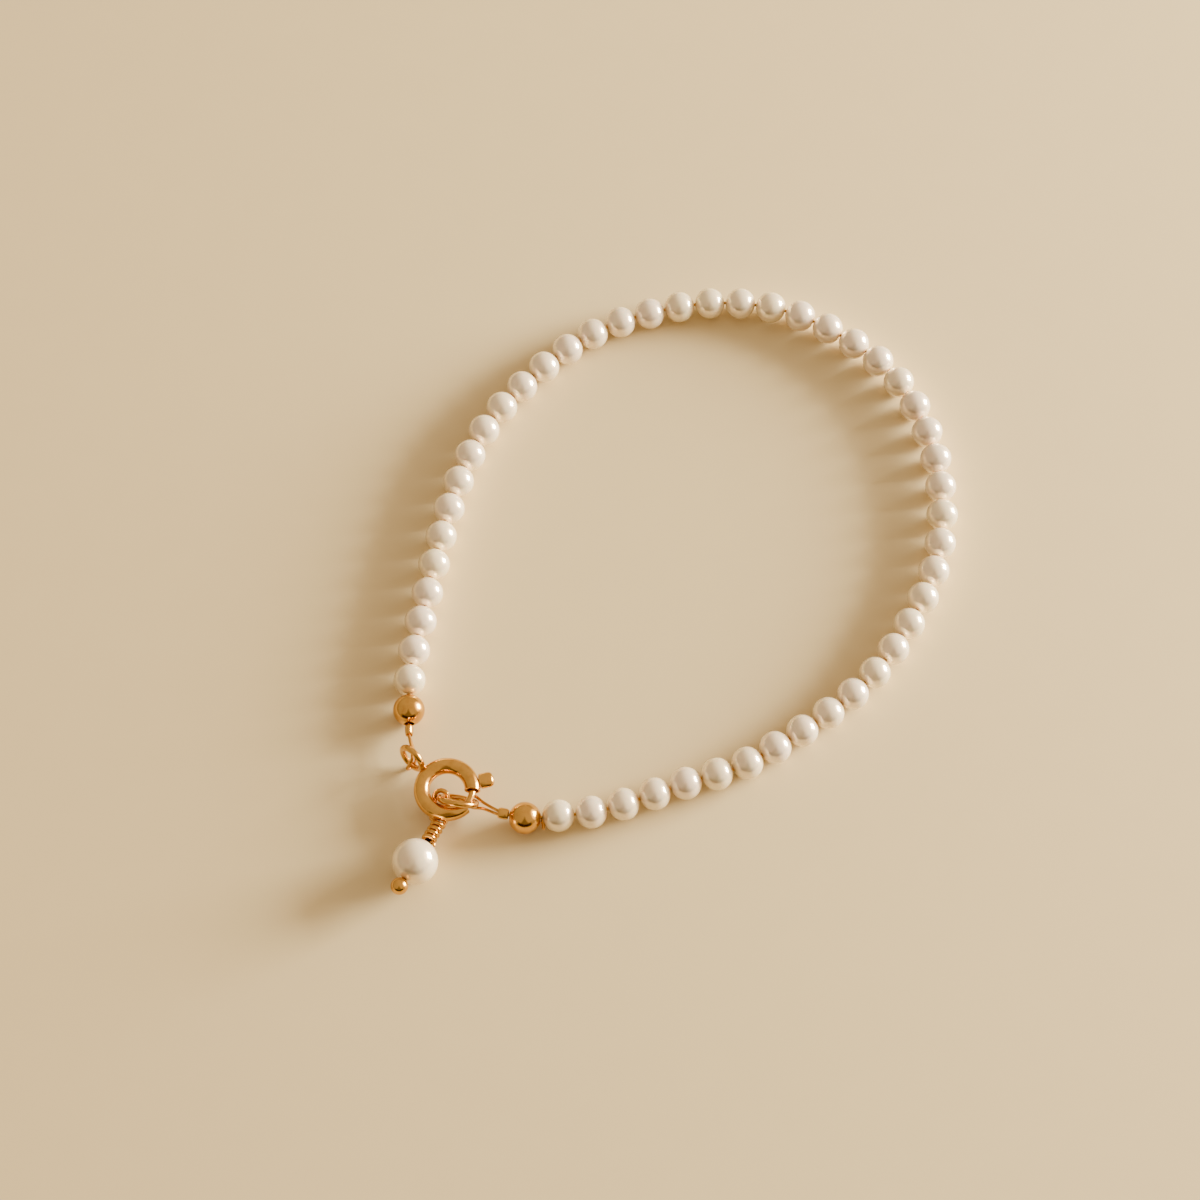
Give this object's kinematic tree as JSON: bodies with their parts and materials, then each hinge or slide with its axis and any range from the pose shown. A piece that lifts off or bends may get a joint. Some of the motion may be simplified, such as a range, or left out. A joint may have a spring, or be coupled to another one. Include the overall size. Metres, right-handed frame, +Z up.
{
  "type": "pearl bracelet",
  "caption": "Closed pearl bracelet lying flat, a string of small pearls on gold wire with a spring ring clasp and a pearl charm on a wrapped pin.",
  "frame": {"origin": "on the floor under the middle of the bracelet's box", "axes": "+Z up from the floor; the clasp and charm are at the low X, low Y corner; +X runs from the clasp along the near side"},
  "size_m": [0.0542, 0.0644, 0.0043],
  "materials": {
    "pearl": "lustrous",
    "gold": "polished"
  },
  "bodies": {
    "bracelet": {"pearl_string": "pearl", "gold_ball_left": "gold", "crimp_left": "gold", "gold_ball_right": "gold", "crimp_right": "gold", "wire_loop_left": "gold", "wire_loop_right": "gold", "spring_ring": "gold", "closed_ring": "gold", "charm_pearl": "pearl", "charm_pin": "gold"},
    "bolt": {"clasp_bolt": "gold"}
  },
  "joints": [
    {"name": "trigger", "type": "hinge", "parent": "bracelet", "child": "bolt", "pos_m": [-0.02175, -0.02166, 0.00185], "axis": [0, 0, 1], "range_deg": [0, 35], "stiffness_Nm_per_rad": 0.005, "springref_deg": -11.46}
  ]
}
